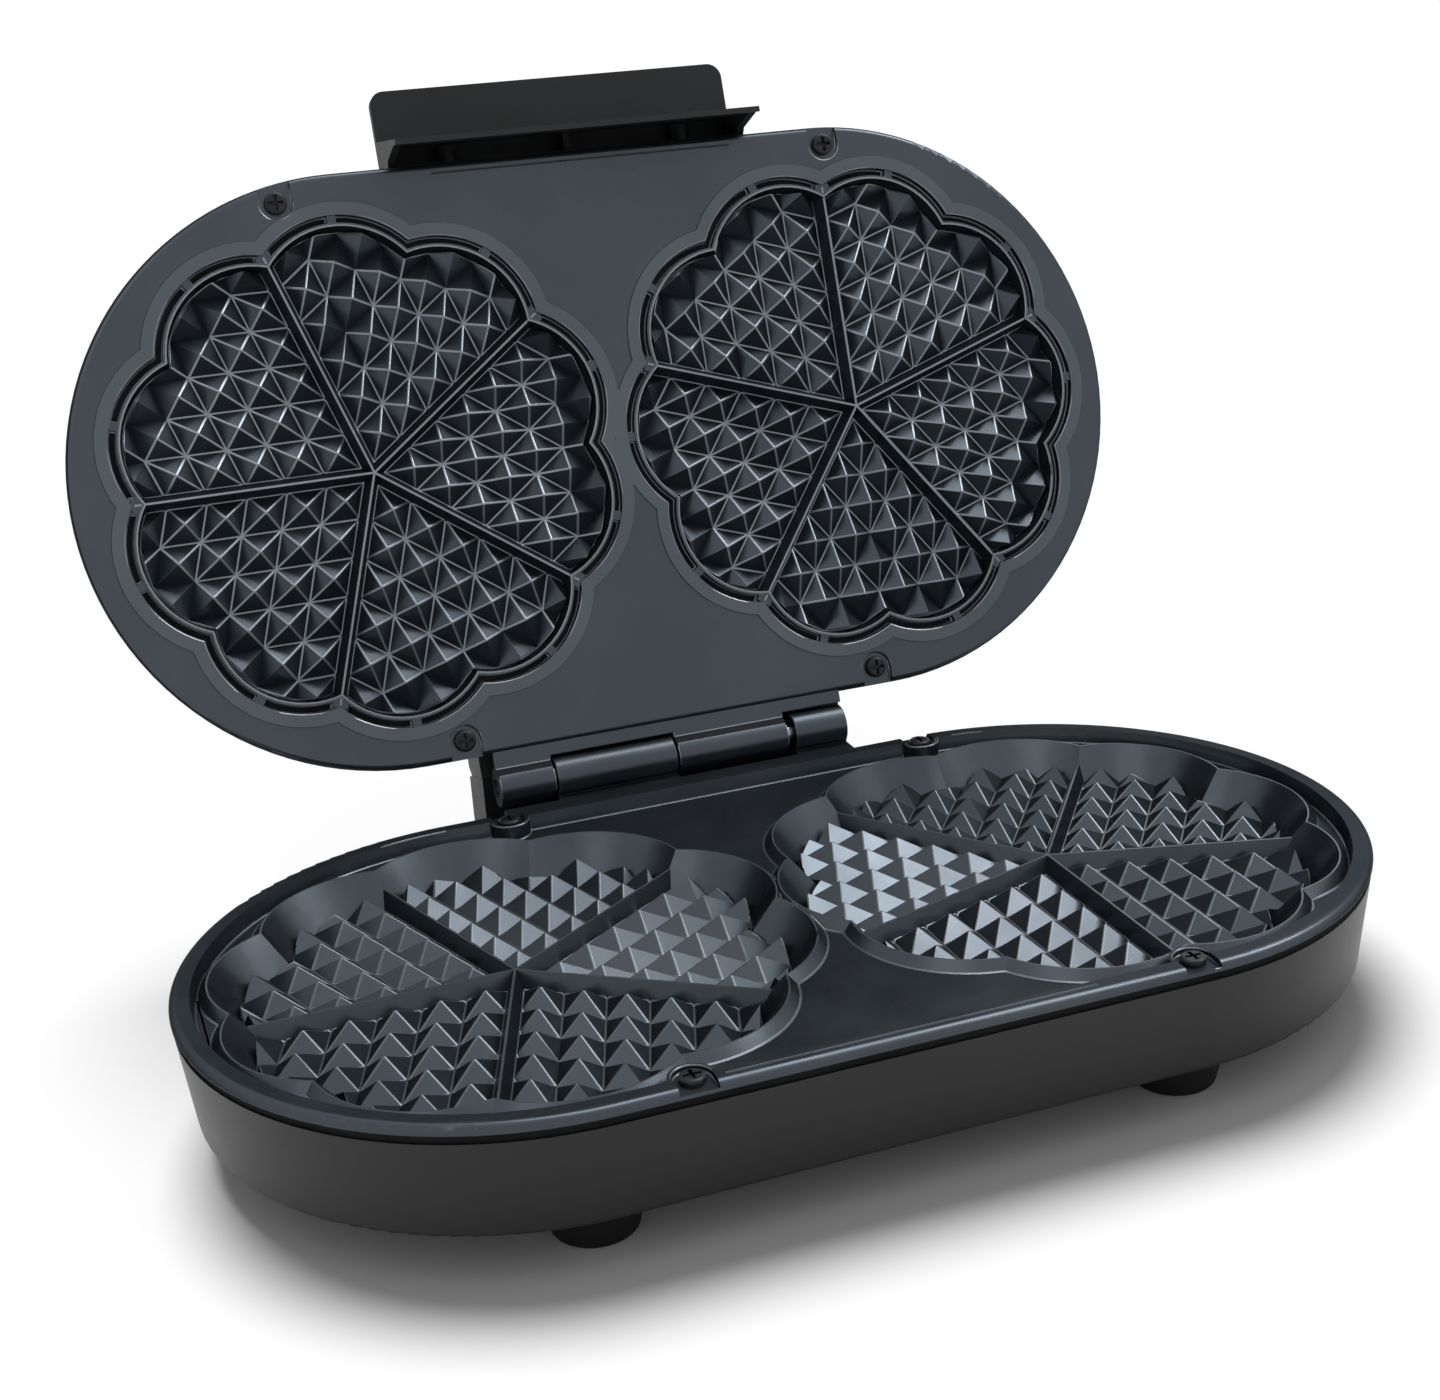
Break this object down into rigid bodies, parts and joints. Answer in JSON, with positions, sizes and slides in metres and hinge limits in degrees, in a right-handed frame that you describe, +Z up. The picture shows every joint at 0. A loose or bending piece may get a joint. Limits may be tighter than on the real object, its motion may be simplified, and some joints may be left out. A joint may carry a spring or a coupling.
{
  "type": "double heart waffle maker",
  "caption": "Countertop cooker with deep heart-waffle moulds side by side in a cast plate, under a hinged lid with a front handle that opens past upright.",
  "frame": {"origin": "bottom centre of the outline with the lid open", "axes": "+X to the right along the hinge, +Y to the back, +Z up"},
  "size_m": [0.37, 0.301, 0.2785],
  "materials": {
    "housing": "satin moulded plastic",
    "seal": "matt",
    "coated_plate": "dark non-stick coating on cast aluminium",
    "dark_screw": "darkened steel",
    "bright_screw": "zinc plated",
    "element": "heat-tinted sheath",
    "sheet_steel": "sheet",
    "shield": "mill finish sheet",
    "ceramic": null,
    "fuse_metal": "plain",
    "lamp_glass": "clear",
    "red_lens": "translucent",
    "green_lens": "translucent",
    "black_plastic": "fine grain",
    "gland_rubber": "matt",
    "foot_rubber": "matt",
    "pin_steel": "drawn",
    "lead_sleeve": null
  },
  "bodies": {
    "base": {"lower_housing": "housing", "lower_seal": "seal", "lower_plate": "coated_plate", "lower_plate_screws": "dark_screw", "lower_element_left": "element", "lower_element_right": "element", "lower_element_straps": "sheet_steel", "lower_strap_screws": "bright_screw", "lower_shield_left": "shield", "lower_shield_right": "shield", "lower_shield_screws": "bright_screw", "thermostat": "ceramic", "terminal_block": "ceramic", "terminal_screws": "bright_screw", "rear_housing": "black_plastic", "rear_housing_screws": "bright_screw", "cord_gland": "gland_rubber", "feet": "foot_rubber", "foot_screws": "bright_screw", "hinge_pin": "pin_steel", "lower_leads": "lead_sleeve"},
    "lid": {"upper_housing": "housing", "upper_seal": "seal", "upper_plate": "coated_plate", "upper_plate_screws": "dark_screw", "upper_element_left": "element", "upper_element_right": "element", "upper_element_straps": "sheet_steel", "upper_strap_screws": "bright_screw", "upper_shield_left": "shield", "upper_shield_right": "shield", "upper_shield_screws": "bright_screw", "thermal_fuse": "fuse_metal", "power_lens": "red_lens", "ready_lens": "green_lens", "lamp_holder": "black_plastic", "lamps": "lamp_glass", "lid_stop": "black_plastic", "lid_stop_screws": "bright_screw", "handle": "black_plastic", "handle_screws": "bright_screw", "upper_leads": "lead_sleeve"}
  },
  "joints": [
    {"name": "lid_hinge", "type": "hinge", "parent": "base", "child": "lid", "pos_m": [0, 0.05996, 0.05371], "axis": [1, 0, 0], "range_deg": [0, 107.4]}
  ]
}
